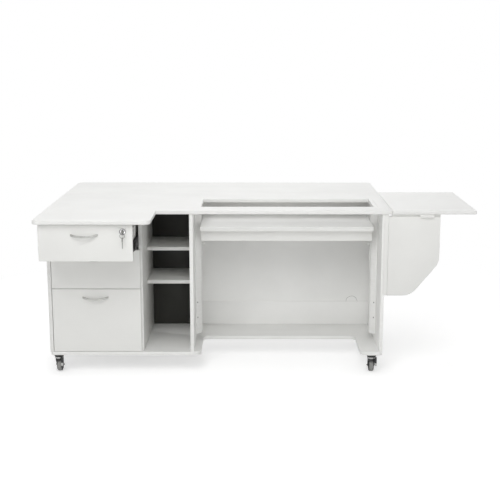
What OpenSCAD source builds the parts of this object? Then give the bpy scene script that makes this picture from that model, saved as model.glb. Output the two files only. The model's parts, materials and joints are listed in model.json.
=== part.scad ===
// Sewing cabinet on casters: L-shaped top with a well over a lift, a side leaf on a swing-out
// wing, a rear leaf on folding stays, three drawers on runners and an open cubby.
// Frame: +X to the right, +Y to the back, +Z up. The origin is the middle of the footprint, on the floor.

/* [Worktop] */
// Height of the work surface above the floor
top_h = 760; // [735:5:820]
// Thickness of the top and its leaves
top_t = 18; // [16:1:22]
// Width of the main top
core_w = 1538; // [1500:1:1640]
// Depth of the main top
core_d = 556; // [552:1:580]
// Width of the return over the drawers
return_w = 496; // [460:1:560]
// Reach of the return in front of the main top
return_reach = 265; // [262:1:320]
// Radius of the return's front corners
return_r = 25; // [10:1:40]
// Width of the side leaf
side_leaf_w = 371; // [340:1:400]
// Radius of the side leaf's free corners
side_leaf_r = 8; // [3:1:20]
// Depth of the rear leaf
rear_leaf_d = 350; // [310:1:380]
// Radius of the rear leaf's free corners
rear_leaf_r = 27; // [10:1:40]
// Slit between the top and each leaf
leaf_slit = 1; // [0.6:0.2:1.6]

/* [Well] */
// Distance from the top's front edge to the well
well_front = 105; // [90:1:120]
// Depth of the well
well_d = 235; // [200:1:260]
// Distance from the left lift column to the well's left edge
well_left = 7; // [2:1:20]
// Distance from the right gable to the end of the cut-out
well_right = 11; // [6:1:16]
// Width of the filler strip at the well's right end
filler_w = 18; // [12:1:40]
// Seam between the filler strip and the end of the cut-out
filler_seam = 0.5; // [0.2:0.1:0.8]

/* [Carcass] */
// Thickness of the carcass boards
board_t = 16; // [15:1:18]
// Depth of the carcass
carcass_d = 484; // [478:1:490]
// Distance from the top's front edge back to the carcass front
front_setback = 12; // [4:1:16]
// Overhang of the top past the left gable
left_overhang = 2; // [0:1:20]
// Overhang of the top past the right gable
right_overhang = 26; // [24:1:36]
// Clear width of the drawer bay
drawer_bay_w = 394; // [360:1:420]
// Clear width of the cubby
cubby_w = 212; // [180:1:260]
// Radius of the base board's front corners
base_r = 20; // [10:1:30]
// Left edge of the foot cut-out, measured from the knee gable
foot_left = 31; // [20:1:60]
// Right edge of the foot cut-out, measured from the right gable
foot_right = 84; // [76:1:120]
// Depth of the foot cut-out in the base board
foot_d = 254; // [180:1:300]
// Radius of the corners beside the foot cut-out
horn_r = 30; // [15:1:40]
// Radius inside the foot cut-out
foot_r = 25; // [10:1:40]
// Height of the back rail
rail_h = 116; // [80:1:160]
// Thickness of the back panels
panel_t = 8; // [6:1:10]
// Distance from the back rail's face back to the panels' face
panel_inset = 3; // [1:1:6]
// Radius of the cable notch
notch_r = 28; // [15:1:40]
// Gap round the cover of the cable notch
cover_gap = 0.8; // [0.4:0.1:0.9]
// Distance from the right gable to the middle of the cable notch
notch_x = 83; // [60:1:140]
// Height of the upper shelf's top above the floor
shelf_high = 550; // [520:1:600]
// Height of the lower shelf's top above the floor
shelf_low = 391; // [330:1:430]
// Distance from the carcass front back to the shelves
shelf_back = 210; // [20:1:260]

/* [Side leaf support] */
// Width of the wing batten's face along X
batten_w = 20; // [18:1:24]
// How deep the batten is let into the right gable's front corner
batten_let = 8; // [6:1:9]
// Thickness of the wing batten along Y
batten_d = 18; // [16:1:20]
// Length of the wing batten, down from the top
batten_h = 370; // [320:1:400]
// Thickness of the support wing
wing_t = 15; // [12:1:16]
// Width of the support wing
wing_w = 229; // [200:1:240]
// Height of the support wing
wing_h = 361; // [320:1:400]
// Height of the wing's outer edge, down to the cut corner
wing_edge = 211; // [150:1:240]
// Width of the wing's lower edge, out to the cut corner
wing_foot = 106; // [80:1:140]
// Rounding of the wing's cut corner
wing_r = 80; // [20:1:90]
// Height of the bearer between the wing and the side leaf
stop_h = 11; // [10:1:18]
// Distance from the wing's face back to the bearer
bearer_back = 4; // [2:1:6]
// Distance from the wing's hinge to the bearer
bearer_in = 14; // [10:1:40]
// Width of the stop block
stop_w = 63; // [40:1:80]
// Distance from the wing's outer end to the stop block
stop_in = 30; // [5:1:60]
// Depth of the lip that hangs in front of the wing
stop_lip = 6; // [4:1:8]
// Thickness of the stop block's front lip
stop_lip_t = 9; // [6:1:10]

/* [Lift] */
// Thickness of a lift column along X
column_t = 27; // [26:1:32]
// Depth of a lift column
column_d = 78; // [74:1:90]
// Distance from the top's front edge to the lift columns
column_front = 170; // [150:1:190]
// Front chamfer of a lift column
column_cut = 24; // [20:1:25]
// Height of the lift columns' lower ends above the floor
column_z = 145; // [120:1:160]
// Thickness of the lift platform
platform_t = 20; // [16:1:22]
// Distance from the top's underside down to the platform's upper face
platform_drop = 72; // [66:1:90]
// Distance from the top's front edge to the platform
platform_front = 90; // [60:1:110]
// Gap between the platform and the back rail
platform_gap = 10; // [6:1:30]
// Play between the platform and each column
lift_play = 0.8; // [0.5:0.1:0.9]
// Height of the apron under the platform
apron_h = 52; // [40:1:70]
// Distance from the platform's front edge to the apron
apron_in = 40; // [20:1:60]
// Length of the side brackets below the platform
bracket_h = 155; // [130:1:160]

/* [Drawers] */
// Gap round the drawer fronts
front_gap = 2; // [1.5:0.5:3]
// Gap over the top drawer's front
front_top_gap = 6; // [3:0.5:8]
// How far the fronts lap over the drawer gable
front_lap = 6.5; // [4:0.5:10]
// Height of the top drawer's front
top_front_h = 155.5; // [150:0.5:200]
// Height of the middle drawer's front
mid_front_h = 177; // [150:1:200]
// Distance from a front's upper edge down to the rim of its box
box_headroom = 44; // [42:1:60]
// Length of the drawer boxes
box_l = 440; // [410:1:445]
// Thickness of the drawer boxes' walls
box_t = 12; // [9:1:15]
// Thickness of the drawer boxes' bottoms
box_floor = 8; // [6:1:12]
// Height of the box above the lower edge of its front
box_rise = 12; // [10:1:16]
// How far the top drawer stands open
open_top = 247; // [0:1:250]
// Length of the runners
slide_l = 400; // [350:10:430]
// Height of the runners
slide_h = 45; // [40:1:46]
// Width of a runner, from the gable to the drawer box
slide_w = 12.7; // [12.5:0.1:13]
// Width of a bow handle
bow_w = 118; // [100:1:160]
// Reach of a bow handle
bow_reach = 27; // [22:1:28]
// Height of a bow handle's strip
bow_h = 8; // [6:1:10]
// Thickness of a bow handle's strip
bow_t = 4; // [3:0.5:5]
// Spacing of a bow handle's posts
bow_posts = 96; // [64:32:96]
// Angle at which a bow handle droops
bow_tilt = 10; // [0:1:20]
// Distance from the top drawer front's upper edge to its handle
bow_drop_top = 43; // [36:1:60]
// Distance from a lower front's upper edge to its handle
bow_drop = 39; // [34:1:60]

/* [Lock] */
// Distance from the drawer gable to the lock
lock_in = 35; // [30:1:42]
// Distance from the front's upper edge to the lock
lock_drop = 28; // [26:0.5:30]
// Radius of the lock's bezel
bezel_r = 12.5; // [10:0.5:13]
// Radius of the lock's barrel
barrel_r = 9; // [8:0.5:9.5]
// Radius of the turning plug
plug_r = 6; // [5:0.5:6.5]
// Depth of the cam's mortise in the drawer gable
mortise_d = 10; // [9:1:12]
// Radius of the bow of a key
key_bow_r = 11; // [10:0.5:12]
// Length of the spare key's blade
key_blade = 26; // [20:1:32]
// Radius of the key ring
key_ring_r = 10; // [9:0.5:12]

/* [Rear leaf stays] */
// Distance from the hinge line to a stay's upper pivot
stay_reach = 200; // [190:1:210]
// Distance from the leaf's underside down to the upper pivot
stay_drop = 12; // [11:1:13]
// Length of a stay between its pivot and its glide
stay_l = 330; // [320:1:340]
// Depth of the glide's line behind the carcass
glide_y = 8; // [8:0.5:10]
// Width of a stay rail
rail_w = 16; // [15:1:18]
// Depth of a stay rail
rail_d = 14; // [12:1:16]

/* [Hinges] */
// Length of a hinge
hinge_l = 51; // [45:3:60]
// Width of a hinge leaf
hinge_w = 15; // [12:1:18]
// Thickness of a hinge leaf
hinge_t = 1.2; // [1:0.1:1.5]
// Radius of a hinge knuckle
knuckle_r = 3.2; // [3:0.1:3.4]
// Radius of a hinge pin
pin_r = 1.6; // [1.2:0.1:2]

/* [Casters] */
// Height of the casters
caster_h = 90; // [86:1:96]
// Radius of a caster wheel
wheel_r = 29; // [25:1:30]
// Width of a caster wheel
wheel_w = 24; // [18:1:26]
// Trail of a caster
trail = 18; // [14:1:22]
// Distance from the left gable's outer face in to the swivel axis
caster_left = 32; // [27:1:50]
// Distance from the right gable's outer face in to the swivel axis
caster_right = 45; // [30:1:50]
// Distance from the carcass front or back in to the swivel axis
caster_y = 38; // [34:1:70]
// Side of a caster plate
plate_s = 46; // [44:1:50]
// Radius of a caster plate's corners
plate_r = 8; // [3:1:10]

/* [Hidden] */
$fn = 48;
cut = 1;
play = 0.3;
fit = 0.05;
white = "#E6E6E3";
top_white = "#EEEEEC";
grey = "#CFCFCB";
charcoal = "#33332F";
steel = "#B9BBBD";
black = "#1C1C1E";
zinc = "#8F9193";

// Overall box and the planes that the pieces share
total_w = core_w + leaf_slit + side_leaf_w;
total_d = return_reach + core_d + leaf_slit + rear_leaf_d;
x_left = -total_w / 2;
x_core = x_left + core_w;
y_return = -total_d / 2;
y_front = y_return + return_reach;
y_core = y_front + core_d;
z_under = top_h - top_t;
y_face = y_front + front_setback;
y_back = y_face + carcass_d;
y_rail = y_back - board_t;
y_gable = y_face + board_t + play;
y_panel = y_rail + panel_inset;
z_base = caster_h;
z_floor = z_base + board_t;
x_outer_left = x_left + left_overhang;
x_bay = x_outer_left + board_t;
x_drawer_gable = x_bay + drawer_bay_w;
x_cubby = x_drawer_gable + board_t;
x_knee_gable = x_cubby + cubby_w;
x_knee = x_knee_gable + board_t;
x_right_gable = x_core - right_overhang - board_t;
x_outer_right = x_right_gable + board_t;
x_knee_mid = (x_knee + x_right_gable) / 2;
knee_half = (x_right_gable - x_knee) / 2;

// Hinge lines
knuckle_drop = knuckle_r + play;
x_side_hinge = x_core + leaf_slit / 2;
side_pin_drop = 6;
z_side_hinge = z_under - side_pin_drop;
y_rear_hinge = y_core + leaf_slit / 2;
z_rear_hinge = z_under - knuckle_drop;
wing_gap = 0.5;
x_batten = x_outer_right - batten_let;
x_wing_hinge = x_batten + batten_w + wing_gap / 2;
y_wing_hinge = y_face + batten_d + knuckle_drop;
hinge_edge = 1;
wing_hinge_w = batten_w - batten_let - knuckle_r - hinge_edge;
z_wing_top = z_under - stop_h;
lip_round = 2;
hinge_inset = 40;
batten_z = z_under - batten_h;
wing_z = z_wing_top - wing_h;

// Well
x_well = x_knee + column_t + well_left;
x_well_end = x_right_gable - well_right;
x_filler = x_well_end - filler_w;
y_well = y_front + well_front;

// Lift
y_column = y_front + column_front;
slot_w = 12;
slot_y = 51;
cavity_x = 4;
cavity_w = 18;
cavity_d = 34;
lift_rail_t = 1.5;
x_platform = x_knee + column_t + lift_play;
platform_w = 2 * (x_knee_mid - x_platform);
y_platform = y_front + platform_front;
platform_d = y_rail - platform_gap - y_platform;
platform_z = z_under - platform_drop;
z_platform = platform_z - platform_t;
bracket_t = 2.5;
bracket_w = 54;
bracket_foot = 40;
runner_h = 40;
knob_z = z_platform - bracket_h / 2;
stud_r = 3;
knob_r = 11;
knob_t = 12;
flute_r = 4;
flute_out = 2;
stud_end = 8;

// Drawers: top, middle and low
bay_mid = x_bay + drawer_bay_w / 2;
top_z = z_under - front_top_gap - top_front_h;
mid_z = top_z - front_gap - mid_front_h;
low_z = z_floor + front_gap;
front_z = [top_z, mid_z, low_z];
front_h = [top_front_h, mid_front_h, mid_z - front_gap - low_z];
box_h = [for (h = front_h) h - box_rise - box_headroom];
opened = [open_top, 0, 0];
bow_drops = [bow_drop_top, bow_drop, bow_drop];
runner_setback = 4;
runner_rise = 25;
runner_steel = 1.2;
runner_play = 0.8;
lock_x = x_drawer_gable - lock_in;
lock_z = top_z + front_h[0] - lock_drop;
cam_room = 2;
cam_l = lock_in + mortise_d - cam_room;
cam_h = 12;
cam_t = 2.5;
barrel_back = 6;
bezel_t = 2;
lock_nut_t = 3;
nut_rim = 2;
plug_out = 0.5;
hole_share = 0.68;
hole_r = key_bow_r * hole_share;
blade_in = 1;
ring_play = 0.5;
key_t = 2.2;
key_y = 14.5;
key_neck = 5;
ring_wire = 0.8;
ring_z = -hole_r + ring_play + ring_wire - key_ring_r;
blade_h = 7;

// Rear leaf stays: the pivot hangs under the leaf, the glide runs in a rail on the carcass back
stay_x = [x_outer_left + board_t / 2, x_right_gable + board_t / 2];
pivot_y = y_rear_hinge + stay_reach;
pivot_z = z_under - stay_drop;
glide_line = y_back + glide_y;
glide_z = pivot_z - sqrt(stay_l ^ 2 - (pivot_y - glide_line) ^ 2);
stay_angle = atan2(glide_z - pivot_z, glide_line - pivot_y);
folded_y = y_rear_hinge - (stay_drop - knuckle_drop);
folded_z = z_rear_hinge - stay_reach;
folded_glide = folded_z - sqrt(stay_l ^ 2 - (folded_y - glide_line) ^ 2);
stay_t = 3;
stay_w = 14;
bar_in = 2;
stay_pin_r = 2.5;
rivet_end = 1;
ear_t = 2;
ear_foot = 25;
rail_steel = 1.5;
glide_r = 4.5;
rail_spare = 24;

// Casters
caster_xs = [x_outer_left + caster_left, x_outer_right - caster_right];
caster_ys = [y_face + caster_y, y_back - caster_y];
plate_t = 2.5;
race_r = 20;
race_h = 9;
kingpin_r = 4;
cheek_t = 3;
cheek_x = wheel_w / 2 + 0.6;
fork_top = caster_h - plate_t - race_h - play;
crown_h = 11;
cheek_front = 10;
cheek_back = 12;
cheek_drop = 6;
cheek_foot_r = 7;
axle_r = 3;
axle_end = 1;
rim_in = 1;
rim_h = 7;
brake_pin_r = 2;
brake_y = 6;
brake_drop = 5;
lever_h = 8;
lever_t = 2.5;
lever_front = 33;
lever_back = 5;
tab_w = 9;
tab_top = 16;
tab_low = 17;

echo(stay_angle = stay_angle, stay_ratio = (atan2(folded_glide - folded_z, glide_line - folded_y)
    - stay_angle + 90) / -90, pivot = [pivot_y, pivot_z]);

// Shared shapes
module block(a, b) {
    translate(a) cube(b - a);
}

// Corner radii run from the lower left, anticlockwise
module plate2d(a, b, r = [0, 0, 0, 0]) {
    corners = [a, [b[0], a[1]], b, [a[0], b[1]]];
    inward = [[1, 1], [-1, 1], [-1, -1], [1, -1]];
    difference() {
        translate(a) square(b - a);
        for (i = [0:3])
            if (r[i] > 0)
                translate(corners[i]) into_corner(inward[i]) corner_cut2d(r[i]);
    }
}

module into_corner(dir) {
    mirror([dir[0] < 0 ? 1 : 0, 0]) mirror([0, dir[1] < 0 ? 1 : 0]) children();
}

module corner_cut2d(r) {
    difference() {
        translate([-cut, -cut]) square(r + cut);
        translate([r, r]) circle(r);
    }
}

// A board lying flat, from a plan
module flat(z, t) {
    translate([0, 0, z]) linear_extrude(t) children();
}

// A board standing across X, from a profile in Y and Z
module upright(x, t) {
    translate([x, 0, 0]) rotate([90, 0, 90]) linear_extrude(t) children();
}

// A board standing across Y, from a profile in X and Z
module facing(y, t) {
    translate([0, y + t, 0]) rotate([90, 0, 0]) linear_extrude(t) children();
}

module rod_x(x, y, z, r, l) {
    translate([x, y, z]) rotate([0, 90, 0]) cylinder(h = l, r = r);
}

module rod_y(x, y, z, r, l) {
    translate([x, y, z]) rotate([-90, 0, 0]) cylinder(h = l, r = r);
}

module both_sides(x) {
    for (m = [0, 1])
        translate([x, 0, 0]) mirror([m, 0, 0]) children();
}

// Worktop
module worktop() {
    color(top_white) flat(z_under, top_t) difference() {
        union() {
            plate2d([x_left, y_front], [x_core, y_core]);
            plate2d([x_left, y_return], [x_left + return_w, y_front + cut], [return_r, return_r, 0, 0]);
        }
        plate2d([x_well, y_well], [x_well_end, y_well + well_d]);
    }
}

module well_filler() {
    color(top_white) block([x_filler, y_well, z_under], [x_well_end - filler_seam, y_well + well_d, top_h]);
}

module side_leaf() {
    color(top_white) flat(z_under, top_t)
        plate2d([x_core + leaf_slit, y_front], [-x_left, y_core], [0, side_leaf_r, side_leaf_r, 0]);
}

module rear_leaf() {
    color(top_white) flat(z_under, top_t)
        plate2d([x_left, y_core + leaf_slit], [x_core, -y_return], [0, 0, rear_leaf_r, rear_leaf_r]);
}

// Hinges. The pin line runs along X, the leaf lies toward +Y under a seat at z = seat.
module hinge_half(own, seat, leaf_w, bore) {
    third = hinge_l / 3;
    difference() {
        union() {
            block([0, knuckle_r + play, seat - hinge_t], [hinge_l, leaf_w + knuckle_r, seat]);
            for (i = own) {
                x0 = i * third + play / 2;
                rod_x(x0, 0, 0, knuckle_r, third - play);
                block([x0, pin_r + play, 0], [x0 + third - play, knuckle_r, seat]);
                block([x0, pin_r + play, seat - hinge_t], [x0 + third - play, knuckle_r + 2 * play, seat]);
            }
        }
        rod_x(-cut, 0, 0, bore, hinge_l + 2 * cut);
    }
}

module hinge_fixed(seat, leaf_w) {
    hinge_half([0, 2], seat, leaf_w, pin_r);
    rod_x(0, 0, 0, pin_r, hinge_l);
}

module hinge_flap(seat, leaf_w) {
    mirror([0, 1, 0]) hinge_half([1], seat, leaf_w, pin_r + fit);
}

module along_rear_edge() {
    for (i = [0:3])
        translate([x_left + (i + 0.5) * core_w / 4 - hinge_l / 2, y_rear_hinge, z_rear_hinge]) children();
}

module along_side_edge() {
    for (i = [0:2])
        translate([x_side_hinge, y_front + (i + 0.5) * core_d / 3 - hinge_l / 2, z_side_hinge])
            rotate([0, 0, 90]) children();
}

module along_wing_edge() {
    for (z = [batten_z + hinge_inset, z_wing_top - hinge_inset - hinge_l])
        translate([x_wing_hinge, y_wing_hinge, z]) rotate([0, -90, 90]) children();
}

// The side leaf's hinges whole, and the other hinges' halves on the top and the batten
module fixed_hinges() {
    color(steel) {
        along_side_edge() {
            hinge_fixed(z_under - z_side_hinge, hinge_w);
            hinge_flap(z_under - z_side_hinge, hinge_w);
        }
        along_rear_edge() mirror([0, 1, 0]) hinge_fixed(knuckle_drop, hinge_w);
        along_wing_edge() hinge_fixed(knuckle_drop, wing_hinge_w);
    }
}

module rear_hinge_flaps() {
    color(steel) along_rear_edge() mirror([0, 1, 0]) hinge_flap(knuckle_drop, hinge_w);
}

module wing_hinge_flaps() {
    color(steel) along_wing_edge() hinge_flap(knuckle_drop, wing_hinge_w);
}

// Carcass
module gable(x, y) {
    block([x, y, z_floor], [x + board_t, y_back, z_under]);
}

module left_gable() {
    color(white) gable(x_outer_left, y_face);
}

// Rebated for the batten that carries the wing
module right_gable() {
    color(white) difference() {
        gable(x_right_gable, y_face);
        block([x_batten, y_face - cut, batten_z], [x_outer_right + cut, y_face + batten_d, z_under + cut]);
    }
}

module knee_gable() {
    color(white) gable(x_knee_gable, y_face);
}

// The fronts lap over this gable's edge. The lock's cam turns into its mortise when the top drawer is shut
module drawer_gable() {
    mortise_y = y_face + board_t + barrel_back - cam_room;
    mortise_low = sqrt(cam_l ^ 2 + cam_h ^ 2 / 4 - lock_in ^ 2) + cam_room;
    color(white) difference() {
        gable(x_drawer_gable, y_gable);
        block([x_drawer_gable - cut, mortise_y, lock_z - mortise_low],
              [x_drawer_gable + mortise_d, mortise_y + cam_t + 2 * cam_room,
               lock_z + cam_h / 2 + cam_room]);
    }
}

module base_board() {
    foot_x = x_knee + foot_left;
    foot_end = x_right_gable - foot_right;
    color(white) flat(z_base, board_t) difference() {
        union() {
            plate2d([x_outer_left, y_face], [foot_x, y_face + foot_d], [base_r, horn_r, 0, 0]);
            plate2d([foot_end, y_face], [x_outer_right, y_face + foot_d], [horn_r, base_r, 0, 0]);
            plate2d([x_outer_left, y_face + foot_d - foot_r], [x_outer_right, y_back]);
        }
        plate2d([foot_x, y_face + foot_d / 2], [foot_end, y_face + foot_d], [0, 0, foot_r, foot_r]);
    }
}

module back_rail() {
    color(white) block([x_knee, y_rail, z_floor], [x_right_gable, y_back, z_floor + rail_h]);
}

// Backs of the knee space and the drawer bay. A half-round cover stands in the cable notch
module back_panels() {
    z_notch = z_floor + rail_h;
    notch = [x_right_gable - notch_x, z_notch];
    color(grey) {
        facing(y_panel, panel_t) difference() {
            plate2d([x_knee, z_notch], [x_right_gable, z_under]);
            translate(notch) circle(notch_r);
        }
        facing(y_panel, panel_t) intersection() {
            translate(notch) circle(notch_r - cover_gap);
            plate2d([x_knee, z_notch], [x_right_gable, z_under]);
        }
        block([x_bay, y_panel, z_floor], [x_drawer_gable, y_panel + panel_t, z_under]);
    }
}

module cubby_back() {
    color(charcoal) block([x_cubby, y_panel, z_floor], [x_knee_gable, y_panel + panel_t, z_under]);
}

module shelves() {
    color(white) for (z = [shelf_low, shelf_high])
        block([x_cubby, y_face + shelf_back, z - board_t], [x_knee_gable, y_panel, z]);
}

// Side leaf support
module wing_batten() {
    color(white) block([x_batten, y_face, batten_z], [x_batten + batten_w, y_face + batten_d, z_under]);
}

// Points of an arc that rounds corner b between a and c
function unit(v) = v / norm(v);
function rounded(a, b, c, r, n = 12) =
    let (u = unit(a - b), v = unit(c - b), half = acos(u * v) / 2,
         centre = b + unit(u + v) * r / sin(half),
         from = b + u * r / tan(half) - centre, to = b + v * r / tan(half) - centre,
         sweep = acos(unit(from) * unit(to)), turn = sign(from[0] * to[1] - from[1] * to[0]))
    [for (i = [0:n]) let (t = turn * sweep * i / n)
        centre + [from[0] * cos(t) - from[1] * sin(t), from[0] * sin(t) + from[1] * cos(t)]];

module support_wing() {
    x0 = x_wing_hinge + wing_gap / 2;
    x1 = x0 + wing_w;
    foot = [x0 + wing_foot, wing_z];
    corner = [x1, z_wing_top - wing_edge];
    color(white) facing(y_face + batten_d - wing_t, wing_t)
        polygon(concat([[x0, z_wing_top], [x0, wing_z]], rounded([x0, wing_z], foot, corner, wing_r),
            rounded(foot, corner, [x1, z_wing_top], wing_r), [[x1, z_wing_top]]));
}

// A bearer under the side leaf that rests on the open wing. The stop's lip hangs in front of the wing
module leaf_stop_block() {
    x0 = x_wing_hinge + wing_gap / 2;
    x1 = x0 + wing_w - stop_in;
    y_wing = y_face + batten_d - wing_t;
    lip_r = stop_lip + lip_round;
    color(white) {
        block([x0 + bearer_in, y_wing + bearer_back, z_wing_top],
              [x0 + wing_w, y_wing + wing_t, z_under]);
        block([x1 - stop_w, y_wing - play - cut, z_wing_top], [x1, y_wing + bearer_back + cut, z_under]);
        facing(y_wing - play - stop_lip_t, stop_lip_t)
            plate2d([x1 - stop_w, z_wing_top - stop_lip], [x1, z_under], [lip_r, lip_r, 0, 0]);
    }
}

// Lift
module column2d() {
    polygon([[0, 0], [column_t - column_cut, 0], [column_t, column_cut],
             [column_t, column_d], [0, column_d]]);
}

module lift_columns() {
    color(white) both_sides(x_knee_mid) translate([-knee_half, y_column, 0])
        flat(column_z, z_under - column_z) difference() {
            column2d();
            translate([cavity_x, slot_y - cavity_d / 2]) square([cavity_w, cavity_d]);
            translate([cavity_x, slot_y - slot_w / 2]) square([column_t, slot_w]);
        }
}

module lift_rails() {
    color(zinc) both_sides(x_knee_mid) translate([cavity_x - knee_half, y_column + slot_y, 0])
        flat(column_z, z_under - column_z) difference() {
            translate([0, -cavity_d / 2]) square([cavity_w - cut, cavity_d]);
            translate([lift_rail_t, lift_rail_t - cavity_d / 2])
                square([cavity_w, cavity_d - 2 * lift_rail_t]);
        }
}

module platform() {
    color(top_white) block([x_platform, y_platform, z_platform],
        [x_platform + platform_w, y_platform + platform_d, platform_z]);
}

module platform_apron() {
    y0 = y_platform + apron_in;
    color(white) block([x_platform + bracket_t, y0, z_platform - apron_h],
        [x_platform + platform_w - bracket_t, y0 + board_t, z_platform]);
}

// Angle brackets under the platform, each with two runner blocks that ride in the rail
module lift_brackets() {
    block_d = cavity_d - 2 * lift_rail_t - 2 * play;
    neck_d = slot_w - 2 * play;
    block_x = cavity_x + lift_rail_t + play;
    block_end = cavity_x + cavity_w - play;
    block_low = 8;
    block_high = 12;
    color(white) both_sides(x_knee_mid) translate([-knee_half, y_column + slot_y, 0]) {
        difference() {
            union() {
                block([column_t + lift_play, -bracket_w / 2, z_platform - bracket_h],
                      [column_t + lift_play + bracket_t, bracket_w / 2, z_platform]);
                block([column_t + lift_play, -bracket_w / 2, z_platform - bracket_t],
                      [column_t + lift_play + bracket_foot, bracket_w / 2, z_platform]);
                for (z = [z_platform - bracket_h + block_low, z_platform - runner_h - block_high]) {
                    block([block_x, -block_d / 2, z], [block_end, block_d / 2, z + runner_h]);
                    block([block_end - cut, -neck_d / 2, z],
                          [column_t + lift_play + cut, neck_d / 2, z + runner_h]);
                }
            }
            rod_x(column_t, 0, knob_z, stud_r + fit, column_t);
        }
    }
}

// A star knob whose stud draws a clamp block against the rail's lips
module clamp_knob() {
    head = column_t + lift_play + bracket_t + play;
    stud_x = cavity_x + cavity_w - stud_end;
    color(white) translate([-knee_half, y_column + slot_y, knob_z]) {
        difference() {
            rod_x(head, 0, 0, knob_r, knob_t);
            for (a = [0:60:300])
                rotate([a, 0, 0]) rod_x(head - cut, 0, knob_r + flute_out, flute_r, knob_t + 2 * cut);
        }
        rod_x(stud_x, 0, 0, stud_r, head + cut - stud_x);
    }
}

module clamp_knob_left() {
    translate([x_knee_mid, 0, 0]) clamp_knob();
}

module clamp_knob_right() {
    translate([x_knee_mid, 0, 0]) mirror([1, 0, 0]) clamp_knob();
}

// Drawers
module drawer_front(i) {
    y0 = y_face - opened[i];
    color(white) difference() {
        block([x_bay + front_gap, y0, front_z[i]],
              [x_drawer_gable + front_lap, y0 + board_t, front_z[i] + front_h[i]]);
        if (i == 0) rod_y(lock_x, y0 - cut, lock_z, barrel_r, board_t + 2 * cut);
    }
}

// The box has no front wall of its own, the drawer front closes it. The top one is notched for the cam
module drawer_box(i) {
    y0 = y_face - opened[i] + board_t;
    z0 = front_z[i] + box_rise;
    x_side = x_drawer_gable - slide_w;
    color(white) difference() {
        block([x_bay + slide_w, y0, z0], [x_side, y0 + box_l, z0 + box_h[i]]);
        block([x_bay + slide_w + box_t, y0 - cut, z0 + box_floor],
              [x_side - box_t, y0 + box_l - box_t, z0 + box_h[i] + cut]);
        if (i == 0)
            block([x_side - box_t - cut, y0 - cut, lock_z - cam_l - cam_room],
                  [x_side + cut, y0 + barrel_back + cam_t + cam_room, lock_z]);
    }
}

module bow_handle(i) {
    bow_r = (bow_w ^ 2 / 4 + bow_reach ^ 2) / (2 * bow_reach);
    post_reach = sqrt((bow_r - bow_t / 2) ^ 2 - bow_posts ^ 2 / 4) - (bow_r - bow_reach);
    post_y = post_reach * cos(bow_tilt);
    color(steel) translate([bay_mid, y_face - opened[i], front_z[i] + front_h[i] - bow_drops[i]]) {
        intersection() {
            rotate([bow_tilt, 0, 0]) translate([0, bow_r - bow_reach, -bow_h / 2]) difference() {
                cylinder(h = bow_h, r = bow_r, $fn = 128);
                translate([0, 0, -cut]) cylinder(h = bow_h + 2 * cut, r = bow_r - bow_t, $fn = 128);
            }
            block([-bow_w, -2 * bow_reach, -bow_reach], [bow_w, 0, bow_reach]);
        }
        for (x = [-1, 1])
            rod_y(x * bow_posts / 2, -post_y, -post_reach * sin(bow_tilt), bow_h / 2 - cut, post_y);
    }
}

// Runners: a channel on the gable, a middle member and a member on the box, nested
module channel2d(x0, x1, h, web_left) {
    difference() {
        translate([x0, -h / 2]) square([x1 - x0, h]);
        translate([web_left ? x0 + runner_steel : x0 - cut, runner_steel - h / 2])
            square([x1 - x0 - runner_steel + cut, h - 2 * runner_steel]);
    }
}

module runner_pair(i, shift) {
    y0 = y_face + board_t + runner_setback - shift;
    both_sides(bay_mid) translate([-drawer_bay_w / 2, y0, front_z[i] + box_rise + runner_rise])
        facing(0, slide_l) children();
}

module runner_channels() {
    color(black) for (i = [0:2])
        runner_pair(i, 0) channel2d(0, slide_w - runner_steel - 2 * runner_play, slide_h, true);
}

module runner_middles(i) {
    color(zinc) runner_pair(i, opened[i] / 2)
        channel2d(runner_steel + runner_play, slide_w - runner_steel - runner_play / 2,
            slide_h - 2 * (runner_steel + play), true);
}

module top_runner_middles() {
    runner_middles(0);
}

module middle_runner_middles() {
    runner_middles(1);
}

module low_runner_middles() {
    runner_middles(2);
}

module box_runner(i) {
    color(zinc) runner_pair(i, opened[i])
        channel2d(2 * (runner_steel + runner_play), slide_w, slide_h - 4 * (runner_steel + play), false);
}

module top_box_runners() {
    box_runner(0);
}

module middle_box_runners() {
    box_runner(1);
}

module low_box_runners() {
    box_runner(2);
}

module top_drawer_front() {
    drawer_front(0);
}

module top_drawer_box() {
    drawer_box(0);
}

module top_drawer_handle() {
    bow_handle(0);
}

module middle_drawer_front() {
    drawer_front(1);
}

module middle_drawer_box() {
    drawer_box(1);
}

module middle_drawer_handle() {
    bow_handle(1);
}

module low_drawer_front() {
    drawer_front(2);
}

module low_drawer_box() {
    drawer_box(2);
}

module low_drawer_handle() {
    bow_handle(2);
}

// Lock, with its axis along Y through the top drawer's front
module drawer_lock() {
    color(steel) translate([lock_x, y_face - open_top, lock_z]) difference() {
        union() {
            rod_y(0, -bezel_t, 0, bezel_r, bezel_t);
            rod_y(0, -bezel_t, 0, barrel_r, bezel_t + board_t + barrel_back - cut);
            rod_y(0, board_t, 0, barrel_r + nut_rim, lock_nut_t);
        }
        rod_y(0, -bezel_t - cut, 0, plug_r + fit, board_t + barrel_back + bezel_t + 2 * cut);
    }
}

module key_bow(y, z) {
    difference() {
        rod_x(-key_t / 2, y, z, key_bow_r, key_t);
        rod_x(-key_t, y, z, hole_r, 2 * key_t);
    }
}

module key() {
    color(steel) translate([lock_x, y_face - open_top, lock_z]) {
        rod_y(0, -bezel_t - plug_out, 0, plug_r, board_t + barrel_back + bezel_t + plug_out);
        block([-cam_h / 2, board_t + barrel_back, -cam_l],
              [cam_h / 2, board_t + barrel_back + cam_t, cam_h / 2]);
        block([-key_t / 2, -key_y + hole_r + blade_in, -key_neck / 2], [key_t / 2, -bezel_t, key_neck / 2]);
        key_bow(-key_y, 0);
    }
}

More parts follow.
